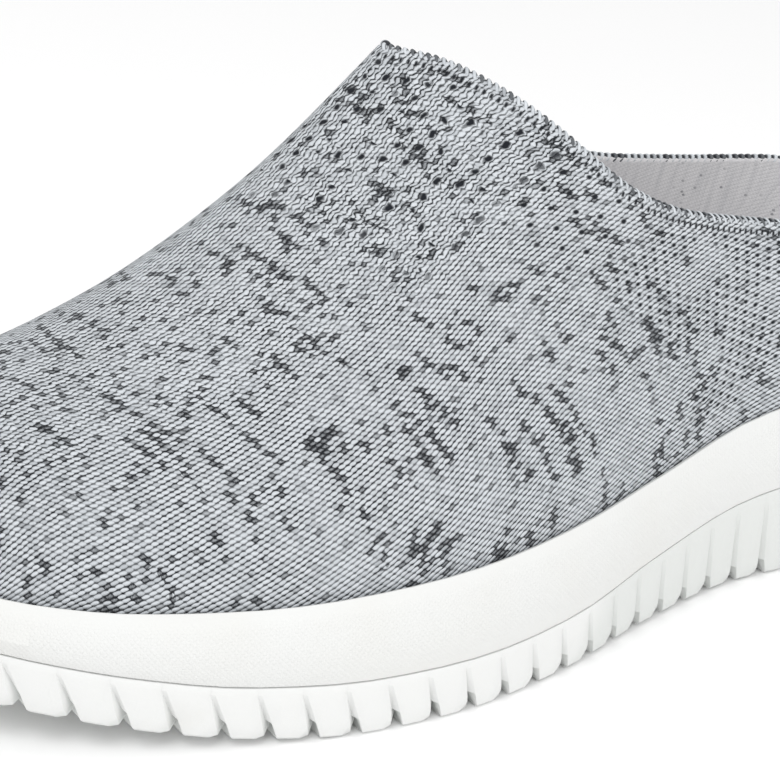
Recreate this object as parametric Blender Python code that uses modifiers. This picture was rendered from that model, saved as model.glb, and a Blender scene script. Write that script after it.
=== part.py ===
"""Sneaker mule, left shoe: a knitted upper lasted into a foam cup on a lugged outsole.

Metres, +Z up. The toe points to -Y, the heel to +Y, and the wearer's outer (lateral) side is +X.
Every form is worked out from the sizes below and from three short tables whose columns are shares
of those sizes, so that a changed size moves everything that follows it.
"""
import math

import bpy
import numpy as np

# Driving sizes
SOLE_LENGTH = 0.264
BALL_WIDTH = 0.100          # across the sole at the ball of the foot
TOE_STACK = 0.0270          # height of the cup's rim under the ball
HEEL_STACK = 0.0398         # height of the cup's rim at the heel
TOE_LUG = 0.0114            # height of the lugs under the ball
HEEL_LUG = 0.0210           # height of the lugs at the heel
TOE_SPRING = 0.0113         # lift of the tread at the tip of the toe
ARCH_LIFT = 0.0030          # lift of the tread under the inner arch
INSTEP_HEIGHT = 0.1061      # top of the collar's peak over the floor

# Walls and clearances
UPPER_WALL = 0.0020
CUP_LIP = 0.0014            # width of the rounded top of the cup's rim
CUP_INSET = 0.0014          # lean of the cup's side, from parting line to lip
CUP_BULGE = 0.0009
FLOOR_DEPTH = 0.0095        # cup floor below its rim
INSOLE_THICKNESS = 0.0050
INSOLE_ROUND = 0.0012
PIECE_GAP = 0.0003

# Lugs and tread
LUG_PITCH = 0.00805         # along the lateral edge, behind the ball
TOE_PITCH_SHARE = 0.28      # lugs are this much longer at the tip of the toe
PITCH_GAIN_LENGTH = 0.090
LUG_LEAN = 0.0046           # how far a lug slants back from the parting line to the floor
LEAN_RUN_IN = 0.035         # length of edge at toe and heel over which the slant comes in
LUG_ROUND = 0.0008
NOTCH_DEPTH = 0.0030        # window between two lugs, at the floor
NOTCH_HEIGHT = 0.0030
TREAD_DEPTH = 0.0024        # grooves across the tread
OUTSOLE_TUCK = 0.0008
NOTCH_START = 0.86          # share of the way up a lug where its notch fades out
WINDOW_SHARE = 0.35         # share of the lug's slant reached at the window's top
WINDOW_OPENING = 0.3        # share of the window's full width there
CORNER_SHARE = 0.1          # share of the slant reached at the lug's lower corner
OUTER_ARCH_SHARE = 0.2      # how much of the arch's lift the outer edge has

# Where things are along the shoe, as shares of its length
TOE_END = 0.300
COLLAR_PEAK = 0.395
THROAT_END = 0.600
CORNER_START = 0.870
QUARTER_END = 0.945

# Shape of the sole. along: share of the length from the toe. lateral, medial: half widths as shares
# of the ball width. spring, arch: shares of the toe spring and the arch lift. parting, rim: how far
# the line has gone from its height under the ball to its height at the heel.
SOLE_COLUMNS = ("along", "lateral", "medial", "spring", "arch", "parting", "rim")
SOLE_ROWS = (
    (0.000, -0.093, 0.093, 1.00, 0.0, 1.08, 0.36),
    (0.012, 0.108, 0.215, 0.94, 0.0, 0.98, 0.24),
    (0.040, 0.233, 0.292, 0.77, 0.0, 0.83, 0.11),
    (0.080, 0.315, 0.352, 0.60, 0.0, 0.63, 0.02),
    (0.130, 0.384, 0.403, 0.38, 0.0, 0.39, -0.03),
    (0.200, 0.453, 0.446, 0.13, 0.0, 0.13, -0.03),
    (0.280, 0.505, 0.470, 0.00, 0.0, 0.03, 0.06),
    (0.360, 0.521, 0.458, 0.00, 0.0, 0.04, 0.17),
    (0.450, 0.492, 0.412, 0.00, 0.5, 0.15, 0.30),
    (0.550, 0.421, 0.352, 0.00, 1.0, 0.50, 0.46),
    (0.650, 0.368, 0.326, 0.00, 0.7, 0.88, 0.79),
    (0.750, 0.371, 0.332, 0.00, 0.0, 1.10, 1.03),
    (0.850, 0.370, 0.337, 0.00, 0.0, 1.09, 1.02),
    (0.930, 0.307, 0.294, 0.02, 0.0, 1.02, 1.01),
    (0.985, 0.150, 0.148, 0.16, 0.0, 0.95, 0.99),
    (1.000, 0.000, 0.000, 0.22, 0.0, 0.94, 0.98),
)

# Shape of the last over the rim, on behind the collar's peak as the leg would go on. height: share
# of the collar peak's height over the rim. ridge: how far the ridge lies toward the medial side, as
# a share of the ball width. shoulder: how upright the wall leaves the rim. crown: how flat it meets
# the ridge.
LAST_COLUMNS = ("along", "height", "ridge", "shoulder", "crown")
LAST_ROWS = (
    (0.000, 0.000, 0.080, 0.60, 0.60),
    (0.010, 0.115, 0.080, 0.59, 0.59),
    (0.030, 0.210, 0.080, 0.58, 0.57),
    (0.080, 0.355, 0.080, 0.56, 0.51),
    (0.150, 0.430, 0.085, 0.52, 0.43),
    (0.230, 0.557, 0.090, 0.48, 0.34),
    (0.320, 0.760, 0.098, 0.44, 0.24),
    (0.395, 1.000, 0.093, 0.40, 0.16),
    (0.470, 1.230, 0.077, 0.40, 0.16),
    (0.560, 1.365, 0.057, 0.40, 0.19),
    (0.700, 1.370, 0.026, 0.40, 0.24),
    (0.945, 1.310, 0.000, 0.41, 0.34),
)

# The top line behind the collar's peak. along: share of the way from the peak to the quarters' end.
# lateral, medial: how far up the section of the last it is cut there, 1 at the ridge.
TOP_COLUMNS = ("along", "lateral", "medial")
TOP_ROWS = (
    (0.000, 1.000, 1.000),
    (0.010, 0.900, 0.860),
    (0.040, 0.790, 0.710),
    (0.090, 0.650, 0.580),
    (0.160, 0.515, 0.470),
    (0.240, 0.407, 0.390),
    (0.340, 0.337, 0.322),
    (0.480, 0.285, 0.262),
    (0.640, 0.245, 0.222),
    (0.800, 0.215, 0.207),
    (0.900, 0.190, 0.200),
    (0.960, 0.120, 0.130),
    (1.000, 0.015, 0.015),
)

FOAM = (0.90, 0.90, 0.88, 1.0)
RUBBER = (0.88, 0.88, 0.86, 1.0)
KNIT = (0.50, 0.52, 0.54, 1.0)
LINING = (0.46, 0.46, 0.46, 1.0)


def column(rows, columns, name):
    """One named column of a table."""
    place = columns.index(name)
    return np.array([row[place] for row in rows])


def hermite(knots, values, where, slopes):
    """Cubic pieces through the knots with the given slopes."""
    knots = np.asarray(knots, float)
    where = np.clip(np.asarray(where, float), knots[0], knots[-1])
    left = np.clip(np.searchsorted(knots, where, side="right") - 1, 0, len(knots) - 2)
    step = knots[left + 1] - knots[left]
    part = (where - knots[left]) / step
    start = values[left] * (1 + 2 * part) * (1 - part) ** 2
    end = values[left + 1] * part ** 2 * (3 - 2 * part)
    bend = slopes[left] * step * part * (1 - part) ** 2
    return start + end + bend - slopes[left + 1] * step * part ** 2 * (1 - part)


def steady(knots, values, where):
    """A curve through the knots that never swings past them."""
    knots = np.asarray(knots, float)
    values = np.asarray(values, float)
    rise = np.diff(values) / np.diff(knots)
    slopes = np.zeros(len(knots))
    product = rise[:-1] * rise[1:]
    total = rise[:-1] + rise[1:]
    safe = np.where(total == 0, 1.0, total)
    slopes[1:-1] = np.where(product > 0, 2 * product / safe, 0.0)
    slopes[0] = rise[0]
    slopes[-1] = rise[-1]
    return hermite(knots, values, where, slopes)


def flowing(knots, values, where):
    """A curve through the knots with slopes that follow its neighbours, for outlines."""
    slopes = np.gradient(np.asarray(values, float), np.asarray(knots, float))
    return hermite(knots, np.asarray(values, float), where, slopes)


def turn_of(along):
    """The angle round the sole, 0 at the toe and pi at the heel, for a share of the length."""
    return np.arccos(1 - 2 * np.clip(along, 0.0, 1.0))


def share_of(turn):
    return (1 - np.cos(turn)) / 2


def sole_value(name, turn):
    """A height column of the sole's table at a turn."""
    along = column(SOLE_ROWS, SOLE_COLUMNS, "along")
    return steady(turn_of(along), column(SOLE_ROWS, SOLE_COLUMNS, name), turn)


def outline(turn, side):
    """Sideways place of the sole's edge, side +1 for lateral and -1 for medial."""
    knots = turn_of(column(SOLE_ROWS, SOLE_COLUMNS, "along"))
    lateral = column(SOLE_ROWS, SOLE_COLUMNS, "lateral")
    medial = -column(SOLE_ROWS, SOLE_COLUMNS, "medial")
    around = np.concatenate((-knots[:0:-1], knots))
    edge = np.concatenate((medial[:0:-1], lateral))
    return BALL_WIDTH * flowing(around, edge, side * np.asarray(turn))


def edge_points(turn, side, inset):
    """Points of the sole's edge, moved inward by the inset."""
    small = 1e-4
    turn = np.asarray(turn, float)
    spot = np.stack((outline(turn, side), SOLE_LENGTH * (share_of(turn) - 0.5)), -1)
    # the edge is one closed curve, so a turn past the toe or the heel goes on along the other side
    signed = side * turn
    ahead = signed + small
    behind = signed - small

    def place(angle):
        wrapped = (angle + math.pi) % (2 * math.pi) - math.pi
        across = np.where(wrapped >= 0, outline(np.abs(wrapped), 1), outline(np.abs(wrapped), -1))
        return np.stack((across, SOLE_LENGTH * (share_of(wrapped) - 0.5)), -1)

    along = place(ahead) - place(behind)
    along /= np.linalg.norm(along, axis=-1, keepdims=True)
    inward = np.stack((-along[..., 1], along[..., 0]), -1)
    return spot + inward * np.asarray(inset)[..., None]


def tread_height(turn, side):
    """Height of the tread's edge over the floor."""
    arch = ARCH_LIFT * sole_value("arch", turn)
    reach = 1.0 if side < 0 else OUTER_ARCH_SHARE
    return TOE_SPRING * sole_value("spring", turn) + arch * reach


def parting_height(turn):
    """Height of the line between outsole and midsole."""
    return TOE_LUG + (HEEL_LUG - TOE_LUG) * sole_value("parting", turn)


def rim_height(turn):
    return TOE_STACK + (HEEL_STACK - TOE_STACK) * sole_value("rim", turn)


def floor_height(turn):
    """Height of the cup's floor, where upper and insole stand."""
    return rim_height(turn) - FLOOR_DEPTH


def last_value(name, along):
    knots = column(LAST_ROWS, LAST_COLUMNS, "along")
    return flowing(turn_of(knots), column(LAST_ROWS, LAST_COLUMNS, name), turn_of(along))


def top_cut(along, side):
    """How far up its section a wall goes: to the ridge before the collar's peak, then less."""
    part = (np.asarray(along, float) - COLLAR_PEAK) / (QUARTER_END - COLLAR_PEAK)
    knots = np.sqrt(column(TOP_ROWS, TOP_COLUMNS, "along"))
    name = "lateral" if side > 0 else "medial"
    return steady(knots, column(TOP_ROWS, TOP_COLUMNS, name), np.sqrt(np.clip(part, 0, 1)))


def section(along, side, inset, parts):
    """Points up the last's section on one side, 0 at the rim and 1 at the ridge."""
    along = np.asarray(along, float)
    turn = turn_of(along)
    edge = edge_points(turn, side, np.full(len(along), float(inset)))
    rim = rim_height(turn)
    peak_rise = INSTEP_HEIGHT - rim_height(turn_of(COLLAR_PEAK))
    rise = peak_rise * last_value("height", along)
    ridge = -BALL_WIDTH * last_value("ridge", along)
    shoulder = last_value("shoulder", along) * rise
    crown = ridge + last_value("crown", along) * (edge[:, 0] - ridge)
    part = np.asarray(parts, float)
    rest = 1 - part
    start = (rest ** 3 + 3 * rest ** 2 * part) * edge[:, :1]
    across = start + 3 * rest * part ** 2 * crown[:, None] + part ** 3 * ridge[:, None]
    up = 3 * rest ** 2 * part * shoulder[:, None] + (3 * rest * part ** 2 + part ** 3) * rise[:, None]
    back = np.broadcast_to(edge[:, 1:], across.shape)
    return np.stack((across, back, rim[:, None] + up), -1)


def collection(name):
    made = bpy.data.collections.new(name)
    bpy.context.scene.collection.children.link(made)
    return made


def material(name, colour, roughness):
    made = bpy.data.materials.new(name)
    made.use_nodes = True
    shader = made.node_tree.nodes["Principled BSDF"]
    shader.inputs["Base Color"].default_value = colour
    shader.inputs["Roughness"].default_value = roughness
    shader.inputs["Metallic"].default_value = 0.0
    return made


def form(name, points, faces, finish, group):
    """An object from a loft's faces and the points that they use, its faces turned outward."""
    used = sorted({index for face in faces for index in face})
    place = {index: new for new, index in enumerate(used)}
    kept = [tuple(map(float, points[index])) for index in used]
    mesh = bpy.data.meshes.new(name)
    mesh.from_pydata(kept, [], [tuple(place[index] for index in face) for face in faces])
    mesh.validate()
    made = bpy.data.objects.new(name, mesh)
    group.objects.link(made)
    made.data.materials.append(finish)
    bpy.context.view_layer.objects.active = made
    made.select_set(True)
    bpy.ops.object.mode_set(mode="EDIT")
    bpy.ops.mesh.select_all(action="SELECT")
    bpy.ops.mesh.normals_make_consistent(inside=False)
    bpy.ops.object.mode_set(mode="OBJECT")
    made.select_set(False)
    return made


class Loft:
    """Collects rings that run round the shoe and the level grids that close them."""

    def __init__(self, turns):
        self.turns = np.asarray(turns)
        self.points = []
        self.faces = []

    def ring(self, inset, height_of, turns=None, lift=0.0):
        """Toe, lateral side, heel, medial side. height_of gives the height for a turn and side.

        The inset, lift and turns are one value, or one for each of the loft's own turns.
        """
        turns = self.turns if turns is None else turns
        inset = np.broadcast_to(inset, turns.shape)
        lift = np.broadcast_to(lift, turns.shape)
        rows = []
        for side, order in ((1, slice(None)), (-1, slice(-2, 0, -1))):
            flat = edge_points(turns[order], side, inset[order])
            rows.append(np.column_stack((flat, height_of(turns[order], side) + lift[order])))
        return self.add(np.vstack(rows))

    def add(self, points):
        start = len(self.points)
        self.points.extend(points)
        return list(range(start, start + len(points)))

    def band(self, lower, upper):
        count = len(lower)
        for here in range(count):
            after = (here + 1) % count
            self.faces.append((lower[here], lower[after], upper[after], upper[here]))

    def cap(self, ring, columns):
        """Close a ring with straight rows from side to side, each cut into columns."""
        last = len(self.turns) - 1
        rows = [[ring[0]] * (columns + 1)]
        for row in range(1, last):
            lateral = np.array(self.points[ring[row]])
            medial = np.array(self.points[ring[-row]])
            steps = np.arange(1, columns)[:, None] / columns
            between = self.add(list(lateral + (medial - lateral) * steps))
            rows.append([ring[row]] + between + [ring[-row]])
        rows.append([ring[last]] * (columns + 1))
        for near, far in zip(rows, rows[1:]):
            for step in range(columns):
                corners = (near[step], near[step + 1], far[step + 1], far[step])
                face = tuple(dict.fromkeys(corners))
                if len(face) > 2:
                    self.faces.append(face)


def same_height(function):
    return lambda turns, side: function(turns)


def edge_length_table():
    """Lengths along the lateral edge for many turns."""
    turns = np.linspace(0, math.pi, 1441)
    points = edge_points(turns, 1, np.zeros(len(turns)))
    steps = np.linalg.norm(np.diff(points, axis=0), axis=1)
    return turns, np.concatenate(([0.0], np.cumsum(steps)))


def lug_places(opening):
    """Places of the lugs' corners, counted in lugs from the toe, and what each is.

    A lug is centred on the toe and on the heel. Each pitch has the rounded rear edge of one lug,
    the notch's middle, the sharp front edge of the next lug, and two places on its face.
    """
    places = [0.0]
    kinds = ["face"]
    for lug in range(lug_count()):
        notch = lug + 0.5
        places += [notch - 0.09 - 0.12 * opening, notch, notch + 0.10]
        kinds += ["rear", "notch", "front"]
        if lug < lug_count() - 1:
            places += [notch + 0.35, notch + 0.60]
            kinds += ["face", "face"]
    return np.array(places + [float(lug_count())]), np.array(kinds + ["face"])


def lugs_along_edge():
    """Turns and lengths along the lateral edge, and how many pitches fit up to each."""
    turns, lengths = edge_length_table()
    gain = TOE_PITCH_SHARE * np.clip(1 - lengths / PITCH_GAIN_LENGTH, 0, 1)
    pace = 1 / (LUG_PITCH * (1 + gain))
    steps = (pace[1:] + pace[:-1]) / 2 * np.diff(lengths)
    return turns, lengths, np.concatenate(([0.0], np.cumsum(steps)))


def lug_count():
    return round(lugs_along_edge()[2][-1])


def lug_turns(opening, rise):
    """Turns of the lugs' corners where the ring has gone a share of the way up a lug."""
    turns, lengths, count = lugs_along_edge()
    places = lug_places(opening)[0]
    spots = np.interp(places * count[-1] / lug_count(), count, lengths)
    run_in = np.clip(np.minimum(spots, lengths[-1] - spots) / LEAN_RUN_IN, 0, 1)
    return np.interp(spots - LUG_LEAN * rise * run_in, lengths, turns)


def build_outsole(finish, group):
    """The lugged lower band: notched rings from the parting line down, and a grooved tread."""
    loft = Loft(lug_turns(0.0, 1.0))
    kinds = lug_places(0.0)[1]
    notch = np.where(kinds == "notch", 1.0, 0.0)
    rear = np.where(kinds == "rear", 1.0, 0.0)

    def top_height(turns, side):
        return parting_height(turns) - PIECE_GAP / 2

    def shoulder_height(turns, side):
        low = tread_height(turns, side)
        return low + NOTCH_START * (top_height(turns, side) - low)

    groove = TREAD_DEPTH * notch
    top = loft.ring(0.0, top_height)
    shoulder = loft.ring(0.1 * NOTCH_DEPTH * notch, shoulder_height,
                         lug_turns(0.0, NOTCH_START))
    window = loft.ring(0.5 * OUTSOLE_TUCK + 0.5 * NOTCH_DEPTH * notch, tread_height,
                       lug_turns(WINDOW_OPENING, WINDOW_SHARE), LUG_ROUND + NOTCH_HEIGHT)
    side = loft.ring(OUTSOLE_TUCK + NOTCH_DEPTH * notch, tread_height,
                     lug_turns(1.0, CORNER_SHARE), LUG_ROUND * (1 + 2 * rear) + groove)
    tread = loft.ring(OUTSOLE_TUCK + LUG_ROUND + 0.7 * NOTCH_DEPTH * notch, tread_height,
                      lug_turns(1.0, 0.0), 0.8 * LUG_ROUND * rear + groove)
    for lower, upper in ((shoulder, top), (window, shoulder), (side, window), (tread, side)):
        loft.band(lower, upper)
    loft.cap(top, 2)
    loft.cap(tread, 4)
    return form("outsole", loft.points, loft.faces, finish, group)


def sole_turns(count):
    return np.linspace(0, math.pi, count + 1)


def cup_inner(extra=0.0):
    """Inset of the cup's inner wall from the sole's edge."""
    return CUP_INSET + CUP_LIP + extra


def build_midsole(finish, group):
    """The moulded cup: leaning side with a rounded lip, and a floor for upper and insole."""
    loft = Loft(sole_turns(54))

    def between(share, drop=0.0):
        def height_of(at, side):
            low = parting_height(at) + PIECE_GAP / 2
            return low + (rim_height(at) - low) * share - drop
        return height_of

    bottom = loft.ring(0.0, between(0.0))
    belly = loft.ring(-CUP_BULGE, between(0.34))
    waist = loft.ring(0.25 * CUP_INSET, between(0.74))
    lip_out = loft.ring(CUP_INSET, between(1.0, CUP_LIP * 0.5))
    lip_in = loft.ring(CUP_INSET + 0.4 * CUP_LIP, between(1.0))
    wall_top = loft.ring(cup_inner(), between(1.0, CUP_LIP * 0.3))
    floor = loft.ring(cup_inner(), same_height(floor_height))
    for lower, upper in ((bottom, belly), (belly, waist), (waist, lip_out), (lip_out, lip_in),
                         (lip_in, wall_top), (wall_top, floor)):
        loft.band(lower, upper)
    loft.cap(bottom, 2)
    loft.cap(floor, 2)
    return form("midsole", loft.points, loft.faces, finish, group)


def build_insole(finish, group):
    """The padded footbed inside the upper, its top edge rounded."""
    loft = Loft(sole_turns(36))
    inset = cup_inner(PIECE_GAP + UPPER_WALL + PIECE_GAP)

    def above_floor(height):
        return lambda at, side: floor_height(at) + PIECE_GAP + height

    bottom = loft.ring(inset, above_floor(0.0))
    side = loft.ring(inset, above_floor(INSOLE_THICKNESS - INSOLE_ROUND))
    top = loft.ring(inset + INSOLE_ROUND, above_floor(INSOLE_THICKNESS))
    loft.band(bottom, side)
    loft.band(side, top)
    loft.cap(bottom, 2)
    loft.cap(top, 2)
    return form("insole", loft.points, loft.faces, finish, group)


def upper_stations():
    """Shares of the length for the upper's sections, close together at the toe and the throat."""
    toe = share_of(np.linspace(0, turn_of(TOE_END), 17))
    vamp = np.linspace(TOE_END, COLLAR_PEAK, 5)[1:]
    throat = COLLAR_PEAK + (THROAT_END - COLLAR_PEAK) * np.linspace(0, 1, 13)[1:] ** 1.6
    quarter = np.linspace(THROAT_END, CORNER_START, 8)[1:]
    end = np.linspace(CORNER_START, QUARTER_END, 7)[1:]
    return np.concatenate((toe, vamp, throat, quarter, end))


def build_upper(finish, group):
    """The knitted upper: one sheet over the last, thickened inward to its wall."""
    rows = 10
    inset = cup_inner(PIECE_GAP)
    stations = upper_stations()[1:]
    points = []
    lines = [{} for _ in stations]
    for side in (1, -1):
        cut = top_cut(stations, side)
        walls = section(stations, side, inset, cut[:, None] * np.linspace(0, 1, rows))
        feet = floor_height(turn_of(stations)) + PIECE_GAP
        for line, wall, foot in zip(lines, walls, feet):
            start = len(points)
            points.append((wall[0][0], wall[0][1], foot))
            points.extend(wall)
            line[side] = list(range(start, start + rows + 1))
    for line, along in zip(lines, stations):
        if along <= COLLAR_PEAK + 1e-9:
            line[-1][-1] = line[1][-1]
    tip = edge_points(np.array([0.0]), 1, np.array([inset]))[0]
    foot = len(points)
    points.append((tip[0], tip[1], float(floor_height(0.0)) + PIECE_GAP))
    points.append((tip[0], tip[1], float(rim_height(0.0))))
    faces = []
    for side in (1, -1):
        first = lines[0][side]
        faces.append((foot, first[0], first[1], foot + 1))
        for here, after in zip(first[1:], first[2:]):
            faces.append((foot + 1, here, after))
        for near, far in zip(lines, lines[1:]):
            for step in range(rows):
                faces.append((near[side][step], far[side][step], far[side][step + 1], near[side][step + 1]))
    made = form("upper", points, faces, finish, group)
    thick = made.modifiers.new("wall", "SOLIDIFY")
    thick.thickness = UPPER_WALL
    thick.offset = -1
    thick.use_even_offset = True
    return made


def stand_on_origin(pieces):
    """Move all the pieces so that the shoe's box has its bottom's centre on the origin."""
    bpy.context.view_layer.update()
    graph = bpy.context.evaluated_depsgraph_get()
    corners = []
    for piece in pieces:
        corners.extend(tuple(vertex.co) for vertex in piece.evaluated_get(graph).data.vertices)
    corners = np.array(corners)
    low = corners.min(axis=0)
    high = corners.max(axis=0)
    shift = np.array(((low[0] + high[0]) / 2, (low[1] + high[1]) / 2, low[2]))
    for piece in pieces:
        for vertex in piece.data.vertices:
            vertex.co = np.array(vertex.co) - shift


def main():
    for thing in list(bpy.data.objects):
        bpy.data.objects.remove(thing, do_unlink=True)
    shoe = collection("sneaker_mule")
    pieces = (
        build_outsole(material("rubber_white", RUBBER, 0.55), shoe),
        build_midsole(material("foam_white", FOAM, 0.6), shoe),
        build_insole(material("insole_grey", LINING, 0.9), shoe),
        build_upper(material("knit_grey", KNIT, 0.95), shoe),
    )
    stand_on_origin(pieces)


main()
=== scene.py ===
# %% [markdown]
# # A knitted mule on a white foam sole
#
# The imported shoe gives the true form: a knitted upper, a foam cup, a lugged outsole and an insole.
# This lesson dresses it. The upper becomes a knit whose stitches follow the foot, and the collar
# gets its chain of bound-off loops. The sole gets the soft edges and the fine emboss of moulded
# foam.

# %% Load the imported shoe
import math

import bmesh
import bpy
import numpy as np
from mathutils import Matrix, Vector
from mathutils.geometry import convex_hull_2d


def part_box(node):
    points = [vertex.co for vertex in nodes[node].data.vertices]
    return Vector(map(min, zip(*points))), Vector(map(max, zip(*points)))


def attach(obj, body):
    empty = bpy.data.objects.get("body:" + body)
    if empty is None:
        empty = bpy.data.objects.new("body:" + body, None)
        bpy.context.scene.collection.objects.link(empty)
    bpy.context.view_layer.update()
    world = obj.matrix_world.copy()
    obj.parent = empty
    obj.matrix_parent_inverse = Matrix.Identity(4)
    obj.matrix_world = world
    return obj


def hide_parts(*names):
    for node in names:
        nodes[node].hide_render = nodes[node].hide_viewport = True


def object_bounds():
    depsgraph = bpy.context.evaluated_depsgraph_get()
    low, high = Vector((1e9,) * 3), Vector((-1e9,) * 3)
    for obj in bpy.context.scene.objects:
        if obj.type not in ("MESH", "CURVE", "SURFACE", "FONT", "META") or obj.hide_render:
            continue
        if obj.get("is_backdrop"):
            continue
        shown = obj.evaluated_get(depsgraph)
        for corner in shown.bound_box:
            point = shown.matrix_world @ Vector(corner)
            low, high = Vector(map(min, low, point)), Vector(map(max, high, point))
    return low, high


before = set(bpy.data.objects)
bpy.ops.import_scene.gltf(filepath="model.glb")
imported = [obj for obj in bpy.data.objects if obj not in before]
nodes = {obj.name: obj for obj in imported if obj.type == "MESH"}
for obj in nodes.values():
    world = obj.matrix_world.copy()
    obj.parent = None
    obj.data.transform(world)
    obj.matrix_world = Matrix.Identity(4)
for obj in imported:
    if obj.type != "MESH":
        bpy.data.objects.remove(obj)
cad_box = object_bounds()
for name in sorted(nodes):
    low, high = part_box(name)
    print(name, "is", [round(1000 * side, 1) for side in high - low], "mm")

# %% [markdown]
# ## The camera
#
# The picture was taken from the front and the wearer's outer side, a little above the shoe, with
# the camera rolled so that the sole runs nearly level. A lens's view could be matched by eye. Here
# the angles were fitted to the edges of the sole and the collar, and the camera is set from them.

# %% Camera
CAMERA_TURN = math.radians(52.6)
CAMERA_RISE = math.radians(23.7)
CAMERA_ROLL = math.radians(6.7)
CAMERA_DISTANCE = 0.4033
LOOKS_AT = Vector((0.00701, -0.03143, 0.045))
PIXELS_PER_METRE = 5336.0
PICTURE_SIDE = 780
SENSOR = 36.0

back = Vector((math.sin(CAMERA_TURN) * math.cos(CAMERA_RISE),
               -math.cos(CAMERA_TURN) * math.cos(CAMERA_RISE), math.sin(CAMERA_RISE)))
level = Vector((math.cos(CAMERA_TURN), math.sin(CAMERA_TURN), 0.0))
upright = back.cross(level)
right = math.cos(CAMERA_ROLL) * level + math.sin(CAMERA_ROLL) * upright
up = back.cross(right)
lens = bpy.data.cameras.new("camera")
lens.sensor_width = SENSOR
lens.lens = SENSOR * PIXELS_PER_METRE * CAMERA_DISTANCE / PICTURE_SIDE
lens.clip_start = 0.01
camera = bpy.data.objects.new("camera", lens)
bpy.context.scene.collection.objects.link(camera)
turned = Matrix((right, up, back)).transposed().to_4x4()
camera.matrix_world = Matrix.Translation(LOOKS_AT + back * CAMERA_DISTANCE) @ turned
bpy.context.scene.camera = camera
print("lens", round(lens.lens, 1), "mm")

# %% [markdown]
# ## The studio
#
# A white sole on white needs soft light from all round and one broad light that is a little
# stronger, so that its lugs and its lip still show. A bright world does the first, and large area
# lights the second. The floor is a plain pale sheet.

# %% Floor and light
def everything_off():
    """Deselect all, because an operator acts on all that is selected."""
    bpy.ops.object.select_all(action="DESELECT")


def area_light(name, place, aim, side, power):
    light = bpy.data.lights.new(name, "AREA")
    light.shape = "DISK"
    light.size = side
    light.energy = power
    made = bpy.data.objects.new(name, light)
    bpy.context.scene.collection.objects.link(made)
    made.location = place
    made.rotation_mode = "QUATERNION"
    made.rotation_quaternion = (Vector(place) - Vector(aim)).to_track_quat("Z", "Y")
    return made


FLOOR_SIDE = 6.0                 # m
FLOOR_WHITE = 0.97
WORLD_STRENGTH = 0.89
LIGHTS_AIM = (0, 0, 0.03)
# place in m, width in m, power in W
LIGHTS = {"key": ((0.25, -0.45, 0.75), 0.45, 2.2), "side": ((0.8, 0.1, 0.4), 0.6, 1.5)}

everything_off()
bpy.ops.mesh.primitive_plane_add(size=FLOOR_SIDE, location=(0, 0, 0))
floor = bpy.context.object
floor.name = "floor"
floor_finish = bpy.data.materials.new("floor_white")
floor_finish.use_nodes = True
floor_shader = floor_finish.node_tree.nodes["Principled BSDF"]
floor_shader.inputs["Base Color"].default_value = (FLOOR_WHITE, FLOOR_WHITE, FLOOR_WHITE, 1)
floor_shader.inputs["Roughness"].default_value = 0.8
floor.data.materials.append(floor_finish)
floor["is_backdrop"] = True

world = bpy.data.worlds.new("studio")
world.use_nodes = True
sky = world.node_tree.nodes["Background"]
sky.inputs["Color"].default_value = (1.0, 1.0, 1.0, 1)
sky.inputs["Strength"].default_value = WORLD_STRENGTH
bpy.context.scene.world = world
bpy.context.scene.view_settings.view_transform = "Standard"
for name, (place, side, power) in LIGHTS.items():
    area_light(name, place, LIGHTS_AIM, side, power)
print("world", WORLD_STRENGTH, "and", len(LIGHTS), "area lights")

# %% [markdown]
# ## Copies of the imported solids
#
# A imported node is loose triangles, and its mesh stays as it is. Each new piece starts as a copy
# whose double points are merged, and whose triangles are joined to quads again where they can be.

# %% Copy helpers
SAME_POINT = 1e-5                   # m
QUAD_ANGLE = math.radians(60)


def copy_of(node, name):
    """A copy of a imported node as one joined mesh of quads."""
    everything_off()
    made = bpy.data.objects.new(name, nodes[node].data.copy())
    made.data.name = name
    bpy.context.scene.collection.objects.link(made)
    made.data.materials.clear()
    bpy.context.view_layer.objects.active = made
    made.select_set(True)
    bpy.ops.object.mode_set(mode="EDIT")
    bpy.ops.mesh.select_all(action="SELECT")
    bpy.ops.mesh.remove_doubles(threshold=SAME_POINT)
    bpy.ops.mesh.customdata_custom_splitnormals_clear()
    bpy.ops.mesh.tris_convert_to_quads(face_threshold=QUAD_ANGLE, shape_threshold=QUAD_ANGLE)
    bpy.ops.object.mode_set(mode="OBJECT")
    return made


def points_of(mesh):
    """The mesh's points as rows of an array."""
    flat = np.zeros(len(mesh.vertices) * 3)
    mesh.vertices.foreach_get("co", flat)
    return flat.reshape(-1, 3)


def describe(made):
    """Print how many triangles a piece has."""
    made.data.calc_loop_triangles()
    print(made.name, len(made.data.loop_triangles), "triangles")


# %% [markdown]
# ## The knitted upper
#
# The real one is a single knit, pulled over the last. Its wales (the columns of stitches) run from
# toe to heel and its courses (the rows, which follow the yarn) run across the foot. A weave laid on
# by box or camera would cut through the form, so the sheet gets a map of its own: how many
# millimetres a point lies from the ridge of the foot, and how many from the toe along its wale.
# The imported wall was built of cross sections, and all points of one section's side share one place
# along the shoe, so the sections are found again by that place.

# %% Find the outer sheet and its sections
FEWEST = 10        # points of a section; a place with fewer points isn't taken as one
ONE_PLACE = 1e-6   # m


def sections_of(points):
    """Groups of point numbers that share one place along the shoe, from toe to heel."""
    places = np.round(points[:, 1], 6)
    groups = [np.flatnonzero(places == place) for place in np.unique(places)]
    return [group for group in groups if len(group) >= FEWEST]


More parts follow.
